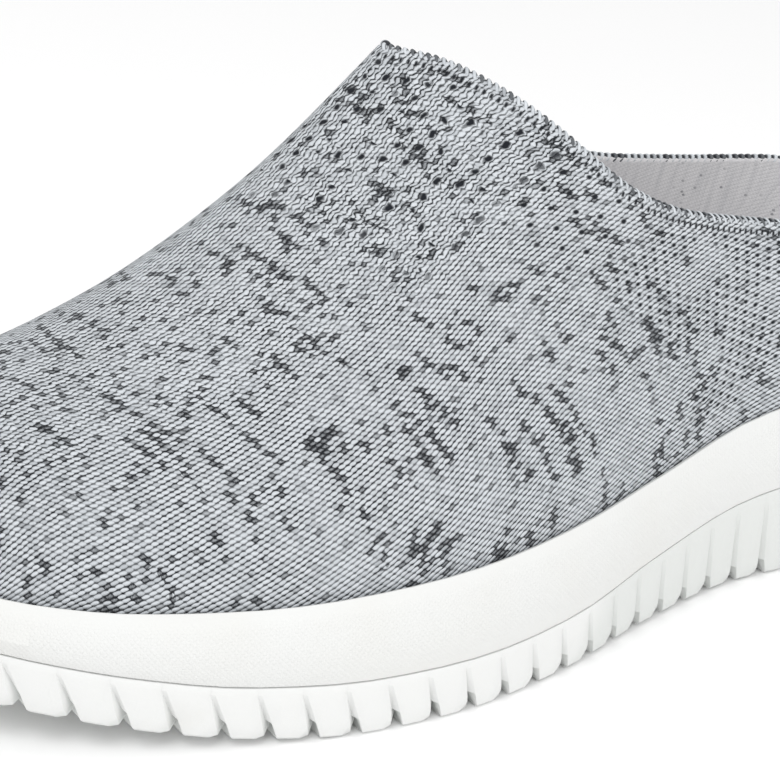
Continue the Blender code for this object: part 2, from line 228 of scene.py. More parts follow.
def keep_points(made, kept):
    """Delete every point that isn't among the kept ones."""
    wanted = set(int(number) for number in kept)
    bpy.context.view_layer.objects.active = made
    bpy.ops.object.mode_set(mode="EDIT")
    bpy.ops.mesh.select_all(action="DESELECT")
    cage = bmesh.from_edit_mesh(made.data)
    for point in cage.verts:
        point.select = point.index not in wanted
    cage.select_flush_mode()
    bmesh.update_edit_mesh(made.data)
    bpy.ops.mesh.delete(type="VERT")
    bpy.ops.mesh.select_all(action="SELECT")
    bpy.ops.mesh.delete_loose()
    bpy.ops.object.mode_set(mode="OBJECT")
    return made


knit = copy_of("upper", "knit_upper")
cage = points_of(knit.data)
tip = np.flatnonzero(cage[:, 1] < cage[:, 1].min() + ONE_PLACE)
keep_points(knit, np.concatenate([tip] + sections_of(cage)))
describe(knit)

# %% [markdown]
# A section has a lateral half and a medial half. In the front they meet at the ridge, over the toes
# and the instep, and share one point there. Behind the throat each half ends at the collar.

# %% Sort the sections into chains, from the sole up
MM = 1000.0
FULL_CHAIN = 11    # points of a half that has its own point at the ridge or collar
LATERAL, MEDIAL = 1, -1
cage = points_of(knit.data)
toe_x = cage[np.argmin(cage[:, 1]), 0]
chains = {LATERAL: [], MEDIAL: []}
for group in sections_of(cage):
    group = group[np.argsort(cage[group, 2])]
    chains[LATERAL if cage[group[0], 0] > toe_x else MEDIAL].append(list(group))
closed = sum(len(chain) < FULL_CHAIN for chain in chains[MEDIAL][:-1])
for number in range(closed):
    chains[MEDIAL][number].append(chains[LATERAL][number][-1])
print(closed, "sections run over the ridge, of", len(chains[LATERAL]))

# %% [markdown]
# Wales are counted from the ridge down, and the run along a wale from the toe. Down the side the
# run changes smoothly from the length over the ridge to the length along the sole, so the courses
# fan out round the toe. Behind the throat there is no ridge, and both measures go on as if there
# were one.

# %% Measure the sheet along its wales and courses
WIDENING = 25.0        # mm behind the throat over which the knit stops growing wider
WALE_DRIFT = 0.12      # how far the wales climb from the sole's edge, per mm, at the quarters


def run_along(points):
    """How far each point lies from the first one, along the line through them."""
    steps = np.linalg.norm(np.diff(points, axis=0), axis=1)
    return np.concatenate(([0.0], np.cumsum(steps)))


ridge = MM * cage[[chain[-1] for chain in chains[LATERAL][:closed]]]
ridge_run = run_along(ridge)
ridge_run += np.linalg.norm(ridge[0] - MM * cage[np.argmin(cage[:, 1])])
knit_place = np.zeros((len(cage), 2))
for side in (LATERAL, MEDIAL):
    lengths = []
    for number, chain in enumerate(chains[side]):
        spots = MM * cage[chain]
        climb = run_along(spots)
        behind = max(0.0, spots[0, 1] - ridge[-1, 1])
        fade = math.exp(-behind / WIDENING)
        if number < closed:
            full = climb[-1]
            over_ridge = ridge_run[number]
            lengths.append(full)
        else:
            growth = (lengths[-1] - lengths[-2]) / (ridge[-1, 1] - ridge[-2, 1])
            full = lengths[-1] + WALE_DRIFT * behind
            full += (growth - WALE_DRIFT) * WIDENING * (1 - fade)
            steep = (ridge_run[-1] - ridge_run[-2]) / (ridge[-1, 1] - ridge[-2, 1])
            over_ridge = ridge_run[-1] + behind + (steep - 1) * WIDENING * (1 - fade)
        over_rim = spots[0, 1] - MM * cage[:, 1].min()
        share = np.clip((full - climb) / (full - climb[1]), 0, 1)
        share = share * share * (3 - 2 * share)
        knit_place[chain, 0] = side * (full - climb)
        knit_place[chain, 1] = over_ridge + (over_rim - over_ridge) * share
print("map", knit_place.min(0).round(1), knit_place.max(0).round(1), "mm")

# %% [markdown]
# The map then counts stitches, so that a stitch pattern can be written in wales and courses. A wale
# is 1.95 mm wide. A course is 1 mm tall at the toe and grows toward the throat, where the knit is
# stretched more. The courses also lean back a little as they go down the side.

# %% Count wales and courses
WALE = 1.95
COURSE_AT_TOE = 1.0
COURSE_GROWTH = 0.0022     # share by which a course grows for each mm from the toe
COURSE_LEAN = 0.0016       # how much of its run a course leans back, for each mm from the ridge


def stitches(place):
    """Wales from the ridge and courses from the toe, for millimetres on the map."""
    run = place[:, 1] * (1 - COURSE_LEAN * np.abs(place[:, 0]))
    courses = np.log(1 + COURSE_GROWTH * run / COURSE_AT_TOE) / COURSE_GROWTH
    return np.stack((place[:, 0] / WALE, courses), -1)


knit_stitches = stitches(knit_place)
print("stitches", knit_stitches.min(0).round(1), "to", knit_stitches.max(0).round(1))

# %% [markdown]
# The collar is a folded edge. Its stitches run along the top line and not with the wales, so every
# point also gets its place along that line and its distance below it.

# %% Measure the collar's edge
EDGE_STEP = 0.0005         # m
SMOOTHINGS = 3


def line_along(points, pitch):
    """Points one pitch apart on a smooth line through the given ones, and the line's direction."""
    run = run_along(points)
    spots = np.arange(pitch / 2, run[-1], pitch)
    placed = np.stack([np.interp(spots, run, points[:, axis]) for axis in range(3)], -1)
    for _ in range(SMOOTHINGS):
        placed[1:-1] = (placed[:-2] + 2 * placed[1:-1] + placed[2:]) / 4
    way = np.gradient(placed, axis=0)
    return placed, way / np.linalg.norm(way, axis=1, keepdims=True)


top_line = [chain[-1] for chain in reversed(chains[LATERAL][closed - 1:])]
top_line += [chain[-1] for chain in chains[MEDIAL][closed:]]
next_line = [chain[-2] for chain in reversed(chains[LATERAL][closed - 1:])]
next_line += [chain[-2] for chain in chains[MEDIAL][closed:]]
edge_spots, _ = line_along(cage[top_line], EDGE_STEP)
edge_place = np.zeros((len(cage), 2))
for number, spot in enumerate(cage):
    far = np.linalg.norm(edge_spots - spot, axis=1)
    edge_place[number] = (MM * EDGE_STEP * far.argmin(), MM * far.min())
edge_place[top_line, 1] = 0.0
print("top line", round(MM * EDGE_STEP * len(edge_spots)), "mm long")

# %% [markdown]
# The maps are laid on the coarse sheet. A Subdivision Surface then rounds sheet and maps together,
# and Solidify gives the sheet its thickness. Done the other way round, the maps would have to be
# measured on thousands of points.

# %% Lay the maps on the sheet
def without_maps(made):
    """Remove the maps that came with the copy."""
    while made.data.uv_layers:
        made.data.uv_layers.remove(made.data.uv_layers[0])


without_maps(knit)
for map_name, places in (("knit", knit_stitches), ("edge", edge_place)):
    layer = knit.data.uv_layers.new(name=map_name)
    for loop in knit.data.loops:
        layer.data[loop.index].uv = places[loop.vertex_index]
print("maps", [layer.name for layer in knit.data.uv_layers])


# %% Round a sheet and give it a wall
def rounded(made, levels):
    """A Subdivision Surface, applied."""
    everything_off()
    made.select_set(True)
    bpy.context.view_layer.objects.active = made
    smooth = made.modifiers.new("round", "SUBSURF")
    smooth.levels = smooth.render_levels = levels
    bpy.ops.object.modifier_apply(modifier=smooth.name)
    bpy.ops.object.shade_smooth()


def walled(made, wall):
    """A Solidify inward, applied."""
    thick = made.modifiers.new("wall", "SOLIDIFY")
    thick.thickness = wall
    thick.offset = -1
    thick.use_even_offset = True
    bpy.context.view_layer.objects.active = made
    bpy.ops.object.modifier_apply(modifier=thick.name)


# %% [markdown]
# The real upper is two layers: the melange knit outside and a plain smooth lining inside, joined at
# the collar. The lining could be the knit's inner face with another colour. It is made as a layer
# of its own, from the same sheet shrunk inward, because its edge shows at the collar and the heel.

# %% Knit and lining, two layers from one sheet
KNIT_WALL = 0.0011         # m
LINING_WALL = 0.0007
LAYER_GAP = 0.0001
ROUND_LEVELS = 2


def twin(made, name):
    """A second object with its own copy of the mesh."""
    other = bpy.data.objects.new(name, made.data.copy())
    other.data.name = name
    bpy.context.scene.collection.objects.link(other)
    return other


def fattened(made, amount):
    """Move every point along its normal."""
    everything_off()
    made.select_set(True)
    bpy.context.view_layer.objects.active = made
    bpy.ops.object.mode_set(mode="EDIT")
    bpy.ops.mesh.select_all(action="SELECT")
    bpy.ops.transform.shrink_fatten(value=amount)
    bpy.ops.object.mode_set(mode="OBJECT")


lining = twin(knit, "lining")
fattened(lining, -(KNIT_WALL + LAYER_GAP))
for layer, wall in ((knit, KNIT_WALL), (lining, LINING_WALL)):
    rounded(layer, ROUND_LEVELS)
    walled(layer, wall)
    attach(layer, "root")
    describe(layer)
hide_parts("upper")

# %% [markdown]
# ## A knit made of numbers
#
# Each leg of a stitch is a little bead of yarn. An image of knitting would repeat and would stretch
# at the toe. Here the beads are worked out from the map: the whole part of a number says which
# stitch this is, and the rest says where in the stitch we are. The helper lets the node setup be
# written as sums, so that every plus or times adds a Math node.

# %% Node helper
class Signal:
    """A number that changes over the surface. Sums with it add Math nodes."""

    def __init__(self, tree, socket):
        self.tree = tree
        self.socket = socket

    def math(self, operation, *others):
        made = self.tree.nodes.new("ShaderNodeMath")
        made.operation = operation
        for place, value in enumerate((self,) + others):
            if isinstance(value, Signal):
                self.tree.links.new(value.socket, made.inputs[place])
            else:
                made.inputs[place].default_value = value
        return Signal(self.tree, made.outputs[0])

    def __add__(self, other):
        return self.math("ADD", other)

    def __sub__(self, other):
        return self.math("SUBTRACT", other)

    def __mul__(self, other):
        return self.math("MULTIPLY", other)

    def __truediv__(self, other):
        return self.math("DIVIDE", other)

    def flip(self):
        """One minus this."""
        return (self * -1.0) + 1.0

    def whole(self):
        return self.math("FLOOR")

    def rest(self):
        return self.math("FRACT")

    def size(self):
        return self.math("ABSOLUTE")

    def power(self, other):
        return self.math("POWER", other)

    def larger(self, other):
        return self.math("MAXIMUM", other)

    def smaller(self, other):
        return self.math("MINIMUM", other)

    def arch(self):
        """Nought at 0 and 1, and one half way."""
        return (self * self.flip()) * 4.0

    def step(self, low, high):
        """Rises smoothly from nought at low to one at high."""
        made = self.tree.nodes.new("ShaderNodeMapRange")
        made.interpolation_type = "SMOOTHSTEP"
        self.tree.links.new(self.socket, made.inputs["Value"])
        made.inputs["From Min"].default_value = min(low, high)
        made.inputs["From Max"].default_value = max(low, high)
        made.inputs["To Min"].default_value = 0.0 if low < high else 1.0
        made.inputs["To Max"].default_value = 1.0 if low < high else 0.0
        return Signal(self.tree, made.outputs["Result"])

    def between(self, low, high, soft):
        """One between low and high, with soft edges."""
        return self.step(low - soft, low + soft) * self.step(high + soft, high - soft)


# %% [markdown]
# The next helpers read a place on the surface and turn it into noise. White noise gives each stitch
# its own number, which stays the same over the whole stitch. Soft noise drifts over many stitches.

# %% Places and noise
def vector(tree, *parts):
    made = tree.nodes.new("ShaderNodeCombineXYZ")
    for place, part in enumerate(parts):
        if isinstance(part, Signal):
            tree.links.new(part.socket, made.inputs[place])
        else:
            made.inputs[place].default_value = part
    return made.outputs[0]


def chance(tree, *parts):
    """A number from 0 to 1 that is the same for the same parts."""
    made = tree.nodes.new("ShaderNodeTexWhiteNoise")
    made.noise_dimensions = "3D"
    tree.links.new(vector(tree, *parts), made.inputs["Vector"])
    return Signal(tree, made.outputs["Value"])


def cloud(tree, place, scale=1.0, detail=0.0):
    """Soft noise from 0 to 1 at a place."""
    made = tree.nodes.new("ShaderNodeTexNoise")
    made.inputs["Scale"].default_value = scale
    made.inputs["Detail"].default_value = detail
    tree.links.new(place, made.inputs["Vector"])
    return Signal(tree, made.outputs["Fac"])


def parts_of(tree, socket):
    """The three parts of a place."""
    made = tree.nodes.new("ShaderNodeSeparateXYZ")
    tree.links.new(socket, made.inputs[0])
    return [Signal(tree, output) for output in made.outputs]


def mapped(tree, name):
    made = tree.nodes.new("ShaderNodeUVMap")
    made.uv_map = name
    return made.outputs[0]


def in_metres(tree):
    return tree.nodes.new("ShaderNodeTexCoord").outputs["Object"]


def attribute(tree, name):
    """A number that is stored on the piece's points."""
    made = tree.nodes.new("ShaderNodeAttribute")
    made.attribute_name = name
    return Signal(tree, made.outputs["Fac"])


# %% [markdown]
# A finish is a Principled shader. What is even over the piece is set on the shader itself, and only
# colour and bump are worked out by nodes, so that the finish can be exported.

# %% Colour, finish and bump
CLOTH_GLOSS = {"Sheen_Roughness": 0.5, "Specular_IOR_Level": 0.15}


def blended(tree, share, first, second):
    """A colour between two, each a plain colour or a socket."""
    made = tree.nodes.new("ShaderNodeMix")
    made.data_type = "RGBA"
    tree.links.new(share.socket, made.inputs["Factor"])
    for socket, value in ((made.inputs[6], first), (made.inputs[7], second)):
        if isinstance(value, bpy.types.NodeSocket):
            tree.links.new(value, socket)
        else:
            socket.default_value = (*value, 1.0)
    return made.outputs[2]


def finish_named(name, roughness, **fixed):
    """A material whose even values are set on the shader itself."""
    made = bpy.data.materials.new(name)
    made.use_nodes = True
    shader = made.node_tree.nodes["Principled BSDF"]
    shader.inputs["Roughness"].default_value = roughness
    for socket, value in fixed.items():
        shader.inputs[socket.replace("_", " ")].default_value = value
    return made, made.node_tree, shader


def raised(tree, shader, height, depth):
    """Bump from a height of 0 to 1, that deep in metres."""
    made = tree.nodes.new("ShaderNodeBump")
    made.inputs["Strength"].default_value = 1.0
    made.inputs["Distance"].default_value = depth
    tree.links.new(height.socket, made.inputs["Height"])
    tree.links.new(made.outputs["Normal"], shader.inputs["Normal"])


def dress(made, finish, tree, shader, tone, height, depth):
    """Link colour and bump, and give the finish to the piece."""
    tree.links.new(tone, shader.inputs["Base Color"])
    raised(tree, shader, height, depth)
    made.data.materials.append(finish)
    print(made.name, "wears", finish.name, "of", len(tree.nodes), "nodes")


# %% [markdown]
# The knit changes over the foot. The sides are plain stockinette, whose legs lie like rope. The top
# of the foot is looser, with tuck stitches that leave small gaps. Below the collar there is a field
# of pinholes, and the quarters have patches of smooth knit between rows of seed stitch. The zones'
# borders are written on the same map, in wales and courses.

# %% Knit colours and zones
YARN_LIGHT = (0.61, 0.64, 0.67)
YARN_GREY = (0.30, 0.32, 0.34)
YARN_DARK = (0.018, 0.020, 0.024)
# near black: painted shade for the gaps between beads, the holes and the slits
GAP_SHADE = (0.012, 0.014, 0.018)
KNIT_RELIEF = 0.00065      # m
# dark runs of yarn that show most: first and last wale, course, strength
DARK_RUNS = (
    (1, 6, 52, 1.0), (14, 19, 56, 0.9), (14, 24, 75, 0.8), (27, 31, 32, 1.0),
    (45, 56, 93, 0.8), (55, 64, 104, 0.8), (39, 45, 82, 0.7), (47, 54, 77, 0.7),
    (2, 6, 111, 0.9), (9, 12, 120, 0.9), (12, 17, 120, 1.0), (11, 15, 97, 0.9),
    (9, 14, 110, 0.9), (20, 26, 44, 0.7), (30, 40, 60, 0.6), (34, 42, 68, 0.7),
)

knit_finish, tree, shader = finish_named("knit_melange", 0.9, Sheen_Weight=0.04, **CLOTH_GLOSS)
wale, course, _ = parts_of(tree, mapped(tree, "knit"))
edge_run, edge_far, _ = parts_of(tree, mapped(tree, "edge"))
wander = cloud(tree, mapped(tree, "knit"), 0.35, 1.0) - 0.5
away = wale.size()

# the top zone grows wider by 0.14 wale a course, and its border wanders by some 4 wales
border = (course * 0.14) + 9.0 + (wander * 8.0)
top_zone = (away - border).step(2.0, -2.0)
tuck = top_zone * course.step(86.0, 96.0) * away.step(24.0, 20.0)
pinholes = away.between(21.0, 34.0, 1.5) * course.between(106.0, 132.0, 3.0)
quarter = (away + (wander * 4.0)).between(34.0, 58.0, 1.0) * course.step(106.0, 112.0)
fold = edge_far.step(3.4, 3.0)
print(len(DARK_RUNS), "dark runs placed by hand")

# %% [markdown]
# A stitch has two legs, and each leg is a small oval bead. Neighbouring legs sit half a course
# apart. The map is shaken a little first, most in the loose top, so that no row is quite straight.

# %% Legs of the stitches
LEG_LEAN = math.radians(3)
LEG_SKEW = 0.35            # courses by which a leg climbs across its width
LEG_RISE = 1.10            # mm, the usual height of a course
LEG_THIN, LEG_LONG = 0.42, 0.62      # mm, half sizes of a leg
loose = (top_zone * 0.5) + (tuck * 0.5)
shaky = cloud(tree, mapped(tree, "knit"), 0.9, 1.0) - 0.5
shaky_too = cloud(tree, vector(tree, course, wale, 3.0), 0.8, 1.0) - 0.5
wale_here = wale + (shaky * ((loose * 0.6) + 0.2))
course_here = course + (shaky_too * ((loose * 1.1) + 0.3))

leg = (wale_here * 2.0).whole()
across = (wale_here * 2.0).rest()
hand = (leg * 0.5).rest() * 2.0
climb_here = course_here - ((across - 0.5) * LEG_SKEW) - (hand * 0.5)
row = climb_here.whole()
along = climb_here.rest()
sideways = (across - 0.5) * (WALE / 2)
upward = (along - 0.5) * LEG_RISE
thin = (sideways * math.cos(LEG_LEAN)) - (upward * math.sin(LEG_LEAN))
long = (sideways * math.sin(LEG_LEAN)) + (upward * math.cos(LEG_LEAN))
thin_share, long_share = thin / LEG_THIN, long / LEG_LONG
bead = (thin_share * thin_share) + (long_share * long_share)
yarn = (bead * 0.5).flip().larger(0.0).power(0.6)
print("a leg is", round(2 * LEG_THIN, 2), "by", round(2 * LEG_LONG, 2), "mm")

# %% [markdown]
# Between the beads the knit is open, and the shade there is painted: the gaps get a near-black
# colour. Some gaps close, others gape, so each gets its own strength. The pinholes, the tucks
# and the seed stitch are staggered nets of larger holes, painted as dark shade in the same way.

# %% Gaps and holes
def holes(wide, tall, radius):
    """Holes in a staggered net, wide wales and tall courses apart; the finish paints them as shade.
    """
    column = wale_here / wide
    odd = (column.whole() * 0.5).rest()
    level = (course_here / tall) + odd
    sideways = (column.rest() - 0.5) * wide * WALE
    upward = (level.rest() - 0.5) * tall
    far = ((sideways * sideways) + (upward * upward)).power(0.5)
    return far.step(radius, radius * 0.45)


own_gap = chance(tree, leg, row, 3.0)
crisp = cloud(tree, mapped(tree, "knit"), 0.12, 2.0).step(0.30, 0.65)
# the slits between beads are painted shade, with a random strength for each gap
slit_shade = bead.step(0.60, 1.30) * ((own_gap * 0.50) + (crisp * 0.30) + 0.38).smaller(1.0)
patch_column = away / 9.0
patch_level = (course / 19.0) + (patch_column.whole() * 0.5).rest()
smooth_patch = patch_column.rest().between(0.22, 0.78, 0.06) * quarter
smooth_patch = smooth_patch * patch_level.rest().between(0.28, 0.72, 0.05)
net = holes(1.0, 2.0, 0.50) * quarter * smooth_patch.flip()
pin = holes(2.0, 4.0, 0.60) * pinholes
tuck_gate = chance(tree, (wale_here / 2.0).whole(), (course_here / 3.0).whole(), 5.0)
tucks = holes(2.0, 3.0, 0.85) * tuck * tuck_gate.step(0.35, 0.45)
gap = net.larger(pin).larger(tucks) * fold.flip()
height = yarn * gap.flip()
print(len(tree.nodes), "nodes so far")

# %% [markdown]
# The yarn is a marl: light, grey and nearly black plies that change along its length. As a row of
# stitches is one yarn, the dark shows as flecks in a row across the foot. Soft noise that is long
# along the row and short across it makes the runs, and each leg then draws its own lot.

# %% Melange colour
run_noise = cloud(tree, vector(tree, wale * 0.13, row * 0.97, 1.0), 1.0, 1.0)
patchy = cloud(tree, mapped(tree, "knit"), 0.07, 1.0)
own = chance(tree, leg, row, 0.0)
in_run = (run_noise + (patchy * 0.35)).step(0.76, 0.82)
wavy_course = course + (wander * 1.5)
for first, last, level, strength in DARK_RUNS:
    inside = wale.between(first, last, 0.6) * wavy_course.between(level - 0.4, level + 0.4, 0.5)
    in_run = in_run.larger(inside * strength)
odds = (in_run * 0.56) + (top_zone * 0.05) + 0.045
dark = (odds - own).step(-0.02, 0.06)
fibre = cloud(tree, vector(tree, wale * 5.0, course * 9.0, 2.0), 1.0, 2.0)
greyer = chance(tree, leg, row, 9.0)
streak = run_noise.step(0.50, 0.72)
greyness = (greyer * greyer * 0.45) + (streak * 0.25) + ((fibre - 0.5) * 0.5)
tone = blended(tree, greyness, YARN_LIGHT, YARN_GREY)
# a dark fleck is strongest at its bead's edge, so the centre stays lighter: a painted sheen; the
# fibre noise changes the fleck's darkness at random
fibre_and_sheen = (fibre.step(0.30, 0.55) * 0.35) + (bead.step(0.0, 0.7) * 0.35) + 0.32
tone = blended(tree, dark * fibre_and_sheen, tone, YARN_DARK)
# painted shade: the gaps between beads and the holes take the near-black colour
tone = blended(tree, slit_shade.larger(gap), tone, GAP_SHADE)
print(len(tree.nodes), "nodes so far")

# %% [markdown]
# Under the bound-off loops the folded edge shows a second row of short slits, square to the
# top line, painted dark as shade. They are counted along the edge, on the edge's own map.

# %% Fold under the collar
FOLD_PITCH = 1.55      # mm
fold_slit = (edge_run / FOLD_PITCH).rest().between(0.30, 0.62, 0.10)
fold_slit = fold_slit * edge_far.between(1.7, 2.7, 0.25)
# painted shade in the fold's slits
tone = blended(tree, fold_slit, tone, GAP_SHADE)
height = height * (fold_slit * 0.8).flip()
dress(knit, knit_finish, tree, shader, tone, height, KNIT_RELIEF)

# %% [markdown]
# The lining is a fine plain jersey in one warm grey, with soft ribs and a few darker stitches. Its
# stitches are half the size of the outer knit's, so the same map is counted twice as fast.

# %% Lining finish
LINING_LIGHT = (0.66, 0.65, 0.66)
LINING_GREY = (0.57, 0.565, 0.58)
LINING_DARK = (0.20, 0.205, 0.22)
LINING_RELIEF = 0.00004
lining_finish, tree, shader = finish_named("lining_jersey", 0.95, Sheen_Weight=0.05,
                                           **CLOTH_GLOSS)
wale, course, _ = parts_of(tree, mapped(tree, "knit"))
edge_run, edge_far, _ = parts_of(tree, mapped(tree, "edge"))
fine_wale = wale * 2.0
fine_row = (course * 2.0) + (fine_wale.rest().arch() * 0.5)
jersey = fine_wale.rest().arch() * ((fine_row.rest().arch() * 0.5) + 0.5)
ribs = cloud(tree, vector(tree, edge_run * 0.6, edge_far * 0.05, 5.0), 1.0, 2.0)
specks = chance(tree, fine_wale.whole(), fine_row.whole(), 8.0).step(0.975, 0.99)
tone = blended(tree, ribs.step(0.35, 0.75), LINING_LIGHT, LINING_GREY)
tone = blended(tree, specks * jersey.step(0.2, 0.8) * 0.8, tone, LINING_DARK)
dress(lining, lining_finish, tree, shader, tone, jersey, LINING_RELIEF)

# %% [markdown]
# ## The collar's chain of loops
#
# The top line isn't hemmed. It is bound off, which leaves a chain of small slanted loops. A twisted
# tube would show the wrong rhythm, so one loop is modelled and copied along the line. Each copy is
# turned to three ways: along the edge, up over it, and out of the wall.

# %% Frames along the collar
OUTER_PITCH = 0.00155      # a loop of the side that shows its outer face
INNER_PITCH = 0.00205      # a loop of the side that shows its inner face
LOOP_SIZE = (0.50, 0.00115, 0.00105)   # half sizes: share of the pitch, over the edge, outward
LOOP_SLANT = math.radians(28)
LOOP_SINK = 0.0004


def edge_frames(line, beside, pitch):
    """For each loop on the edge: its centre, and the ways along, over and out of the edge."""
    placed, way = line_along(line, pitch)
    spots = (np.arange(len(placed)) + 0.5) * pitch
    rise = line - beside
    over = np.stack([np.interp(spots, run_along(line), rise[:, axis]) for axis in range(3)], -1)
    over -= way * (over * way).sum(1, keepdims=True)
    over /= np.linalg.norm(over, axis=1, keepdims=True)
    out = np.cross(over, way)
    inward = (KNIT_WALL + LINING_WALL) / 2
    return placed - inward * out - LOOP_SINK * over, way, over, out


# %% [markdown]
# The loop starts as a ball of 96 faces, is drawn out, and is sheared to slant along the edge. It
# is written by numbers, because every copy has its own turn.

# %% Loops along the collar
everything_off()
bpy.ops.mesh.primitive_uv_sphere_add(segments=12, ring_count=8, radius=1.0)
ball = bpy.context.object
ball_points = points_of(ball.data)
ball_faces = [tuple(face.vertices) for face in ball.data.polygons]
bpy.data.objects.remove(ball)
throat = len(chains[LATERAL]) - closed
all_points, all_faces = [], []
for part, pitch in ((slice(0, throat + 1), OUTER_PITCH), (slice(throat, None), INNER_PITCH)):
    centres, way, over, out = edge_frames(cage[top_line[part]], cage[next_line[part]], pitch)
    shape = ball_points * (LOOP_SIZE[0] * pitch, LOOP_SIZE[1], LOOP_SIZE[2])
    shape[:, 0] += math.tan(LOOP_SLANT) * shape[:, 1]
    for centre, *axes in zip(centres, way, over, out):
        first = len(all_points)
        all_points.extend((centre + shape @ np.stack(axes)).tolist())
        all_faces.extend(tuple(first + corner for corner in face) for face in ball_faces)
loop_count = len(all_points) // len(ball_points)
print(loop_count, "loops round the top line")

# %% [markdown]
# Two numbers go with each point: the loop's own tone, and how near the point is to the loop's end,
# where the yarn dives; the finish paints the shade there as a near-black colour.

# %% The collar's piece
TONE_SEED = 7
edge_mesh = bpy.data.meshes.new("collar_chain")
edge_mesh.from_pydata(all_points, [], all_faces)
tones = np.random.default_rng(TONE_SEED).random(loop_count)
for name, values in (("loop_tone", np.repeat(tones, len(ball_points))),
                     ("loop_end", np.tile(np.abs(ball_points[:, 0]), loop_count))):
    layer = edge_mesh.attributes.new(name, "FLOAT", "POINT")
    layer.data.foreach_set("value", values.astype(np.float32))
collar = bpy.data.objects.new("collar_chain", edge_mesh)
bpy.context.scene.collection.objects.link(collar)
everything_off()
collar.select_set(True)
bpy.context.view_layer.objects.active = collar
bpy.ops.object.mode_set(mode="EDIT")
bpy.ops.mesh.select_all(action="SELECT")
bpy.ops.mesh.normals_make_consistent(inside=False)
bpy.ops.object.mode_set(mode="OBJECT")
bpy.ops.object.shade_smooth()
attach(collar, "root")
describe(collar)

# %% [markdown]
# The loops are of the same marl as the knit, so they take its colours, one tone to a loop.

# %% Collar finish
FUZZ_RELIEF = 0.0001       # m
collar_finish, tree, shader = finish_named("collar_yarn", 0.9, Sheen_Weight=0.04, **CLOTH_GLOSS)
tone_here = attribute(tree, "loop_tone")
fuzz = cloud(tree, in_metres(tree), 2500.0, 2.0)
# painted shade between the loops, where the yarn dives out of sight
shade_between_loops = attribute(tree, "loop_end").step(0.28, 0.66)
tone = blended(tree, (tone_here * 0.7) + ((fuzz - 0.5) * 0.4), YARN_LIGHT, YARN_GREY)
tone = blended(tree, tone_here.step(0.62, 0.72) * 0.75, tone, YARN_DARK)
tone = blended(tree, shade_between_loops * 0.95, tone, GAP_SHADE)
dress(collar, collar_finish, tree, shader, tone, fuzz, FUZZ_RELIEF)

# %% [markdown]
# ## The moulded sole
#
# Foam and rubber come out of a mould with no sharp edge anywhere. The imported solids are crisp and
# faceted, so the copies get narrow bevels on their edges and smooth shading over the rest. A
# remesh would melt the lugs' notches; a bevel keeps them.

# %% Midsole, outsole and insole
# for each piece: its node, a name that isn't used, bevel width in m, least angle, steps
MOULDED = {"foam_midsole": ("midsole", "foam_white", 0.0002, 35, 3),
           "lugged_outsole": ("outsole", "rubber_white", 0.0004, 24, 2),
           "padded_insole": ("insole", "insole_grey", 0.0010, 35, 3)}
SMOOTH_ANGLE = math.radians(50)


def softened(made, width, angle, steps):
    """Bevel the edges that are sharper than the angle, then shade smooth by angle."""
    everything_off()
    made.select_set(True)
    bpy.context.view_layer.objects.active = made
    soft = made.modifiers.new("soft", "BEVEL")
    soft.width = width
    soft.segments = steps
    soft.limit_method = "ANGLE"
    soft.angle_limit = math.radians(angle)
    soft.use_clamp_overlap = True
    bpy.ops.object.modifier_apply(modifier=soft.name)
    bpy.ops.object.shade_smooth_by_angle(angle=SMOOTH_ANGLE)


moulded = {}
for name, (node, slot, width, angle, steps) in MOULDED.items():
    made = moulded[node] = copy_of(node, name)
    softened(made, width, angle, steps)
    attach(made, "root")
    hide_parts(node)
    describe(made)
midsole, outsole, insole = moulded["midsole"], moulded["outsole"], moulded["insole"]

# %% [markdown]
# The sole's emboss runs round the foot like a tape. A pattern on Object coordinates would stretch
# where the side turns at the toe, so both sole pieces get a map: the way round the outline in mm,
# and the depth below the lip in mm.

# %% The outline and the lip
LIP_BINS = 60          # stretches of the outline in which the lip's height is read
LIP_REACH = 0.012      # m inside the outline where the lip is looked for

guide = points_of(midsole.data)
flat = [Vector(spot[:2]) for spot in guide]
corners = np.array([flat[number] for number in convex_hull_2d(flat)])
ahead = np.roll(corners, -1, axis=0) - corners
lengths = np.linalg.norm(ahead, axis=1)
starts = np.concatenate(([0.0], np.cumsum(lengths)))
all_round = starts[-1]


def way_round(spots):
    """Each spot's way round the outline, and how far inside the outline it lies."""
    offset = spots[:, None, :2] - corners[None]
    share = np.clip((offset * ahead).sum(-1) / (lengths ** 2), 0, 1)
    miss = np.linalg.norm(offset - share[..., None] * ahead, axis=-1)
    nearest = miss.argmin(1)
    pick = np.arange(len(spots))
    return starts[nearest] + share[pick, nearest] * lengths[nearest], miss[pick, nearest]


guide_way, guide_miss = way_round(guide)
edge = np.linspace(0, all_round, LIP_BINS + 1)
lip_ways, lip_tops = [], []
for low, high in zip(edge[:-1], edge[1:]):
    near = (guide_way >= low) & (guide_way <= high) & (guide_miss < LIP_REACH)
    if near.any():
        lip_ways.append((low + high) / 2)
        lip_tops.append(guide[near, 2].max())
print("the outline is", round(MM * all_round), "mm round")


# %% Map round the sole
def rim_map(made):
    """Map a sole piece by its way round the outline and its depth below the lip."""
    spots = points_of(made.data)
    way, miss = way_round(spots)
    depth = np.interp(way, lip_ways, lip_tops, period=all_round) - spots[:, 2]
    without_maps(made)
    layer = made.data.uv_layers.new(name="rim")
    for face in made.data.polygons:
        ways = way[list(face.vertices)]
        if ways.max() - ways.min() > all_round / 2:
            ways = np.where(ways < all_round / 2, ways + all_round, ways)
        for number, place, point in zip(face.loop_indices, ways, face.vertices):
            layer.data[number].uv = (MM * place, MM * depth[point])
    inset = made.data.attributes.new("inset", "FLOAT", "POINT")
    inset.data.foreach_set("value", (MM * miss).astype(np.float32))
    print(made.name, "mapped")


rim_map(midsole)
rim_map(outsole)

# %% [markdown]
# White foam isn't flat white. The mould leaves a fine diamond emboss on the band, and short upright
# hatches on the lip from the waist back. Handling leaves faint marks.

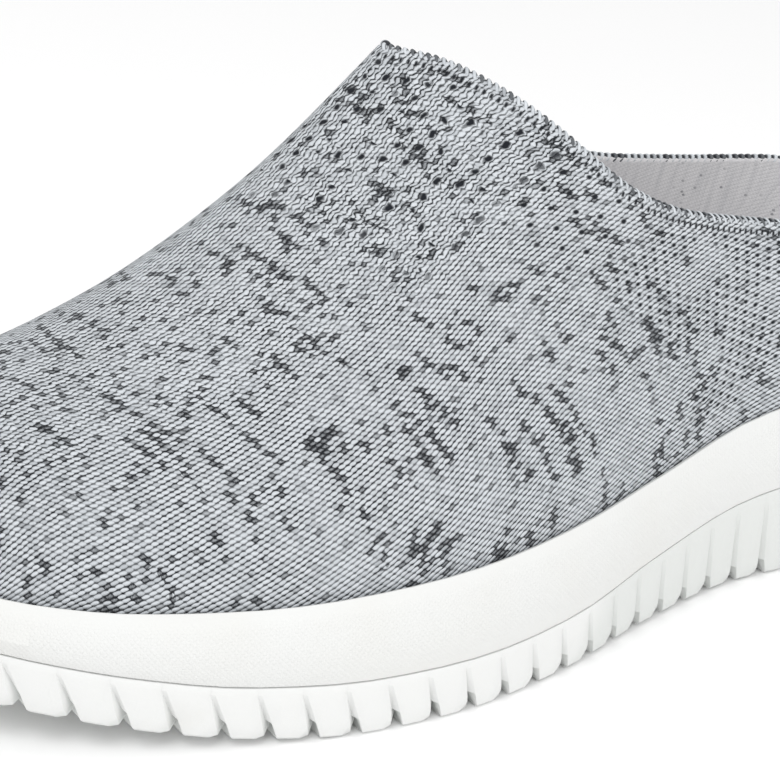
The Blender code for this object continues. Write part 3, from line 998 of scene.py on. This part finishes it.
# %% Foam finish
FOAM_WHITE = (0.72, 0.725, 0.715)
FOAM_WARM = (0.705, 0.705, 0.685)
GRIME = (0.50, 0.48, 0.43)
EMBOSS_PITCH = 1.1      # mm
HATCH_PITCH = 0.8       # mm
FOAM_RELIEF = 0.0001    # m
foam_finish, tree, shader = finish_named("foam_white", 0.7, Specular_IOR_Level=0.3)
round_way, depth, _ = parts_of(tree, mapped(tree, "rim"))
one_way = ((round_way + depth) / EMBOSS_PITCH).rest().arch()
other_way = ((round_way - depth) / EMBOSS_PITCH).rest().arch()
emboss = (one_way * other_way).step(0.15, 0.8)
band = depth.between(2.0, 15.0, 1.5)
_, from_middle, _ = parts_of(tree, in_metres(tree))
hatched = from_middle.step(-0.020, 0.005)
hatch = (round_way / HATCH_PITCH).rest().arch() * depth.between(0.4, 3.6, 0.5)
hatch = hatch * hatched
pores = cloud(tree, in_metres(tree), 1800.0, 3.0)
relief = (emboss * band * 0.45) + (hatch * 0.45) + (pores * 0.35)
clouds = cloud(tree, in_metres(tree), 45.0, 3.0)
marks = cloud(tree, in_metres(tree), 160.0, 4.0).step(0.68, 0.78) * clouds.step(0.5, 0.7)
tone = blended(tree, clouds.step(0.3, 0.8), FOAM_WHITE, FOAM_WARM)
tone = blended(tree, marks * 0.18, tone, GRIME)
dress(midsole, foam_finish, tree, shader, tone, relief, FOAM_RELIEF)

# %% [markdown]
# The outsole's rubber is a little glossier than the foam and has a plain fine grain. The notches
# are painted greyer and a little greener than the lugs, as shade with a slight tint; the tone
# follows the distance inside the outline.

# %% Rubber finish
RUBBER_RELIEF = 0.00005    # m
RUBBER_WHITE = (0.74, 0.745, 0.735)
RUBBER_NOTCH_TINT_AND_SHADE = (0.62, 0.64, 0.62)
rubber_finish, tree, shader = finish_named("rubber_white", 0.5, Specular_IOR_Level=0.4)
grain = cloud(tree, in_metres(tree), 1500.0, 3.0)
clouds = cloud(tree, in_metres(tree), 60.0, 3.0)
# painted shade with a slight green tint in the notches
notch_tint_and_shade = attribute(tree, "inset").step(1.6, 3.2)
tone = blended(tree, notch_tint_and_shade * 0.6, RUBBER_WHITE, RUBBER_NOTCH_TINT_AND_SHADE)
tone = blended(tree, clouds.step(0.62, 0.8) * 0.12, tone, GRIME)
dress(outsole, rubber_finish, tree, shader, tone, grain, RUBBER_RELIEF)

# %% [markdown]
# The insole is a thin padded footbed under plain woven cloth. Two sets of threads cross, and the
# map is simply the foot seen from above, which follows the nearly flat top.

# %% Insole finish
THREAD = 0.0007            # m
CLOTH_RELIEF = 0.00015     # m
CLOTH_LIGHT = (0.40, 0.40, 0.41)
CLOTH_DARK_AND_SHADE = (0.24, 0.24, 0.25)
cloth_finish, tree, shader = finish_named("insole_cloth", 0.95, Sheen_Weight=0.1, **CLOTH_GLOSS)
x, y, _ = parts_of(tree, in_metres(tree))
warp, weft = x / THREAD, y / THREAD
over = ((warp.whole() + weft.whole()) * 0.5).rest() * 2.0
lie = (over * warp.rest().arch()) + (over.flip() * weft.rest().arch())
fuzz = cloud(tree, in_metres(tree), 900.0, 3.0)
# the threads are painted lighter on their crowns and darker at their edges, painted shade between
# the threads; the fuzz noise varies the tone at random
tone = blended(tree, (lie * 0.6) + (fuzz * 0.4), CLOTH_DARK_AND_SHADE, CLOTH_LIGHT)
relief = (lie * 0.7) + (fuzz * 0.3)
dress(insole, cloth_finish, tree, shader, tone, relief, CLOTH_RELIEF)

# %% [markdown]
# The boxes of the imported shoe and of the dressed one are both printed.

# %% Print the boxes at the end
visual_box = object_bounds()
for name, box in (("packed", cad_box), ("dressed", visual_box)):
    print(name, [round(MM * side, 1) for side in box[1] - box[0]], "mm")
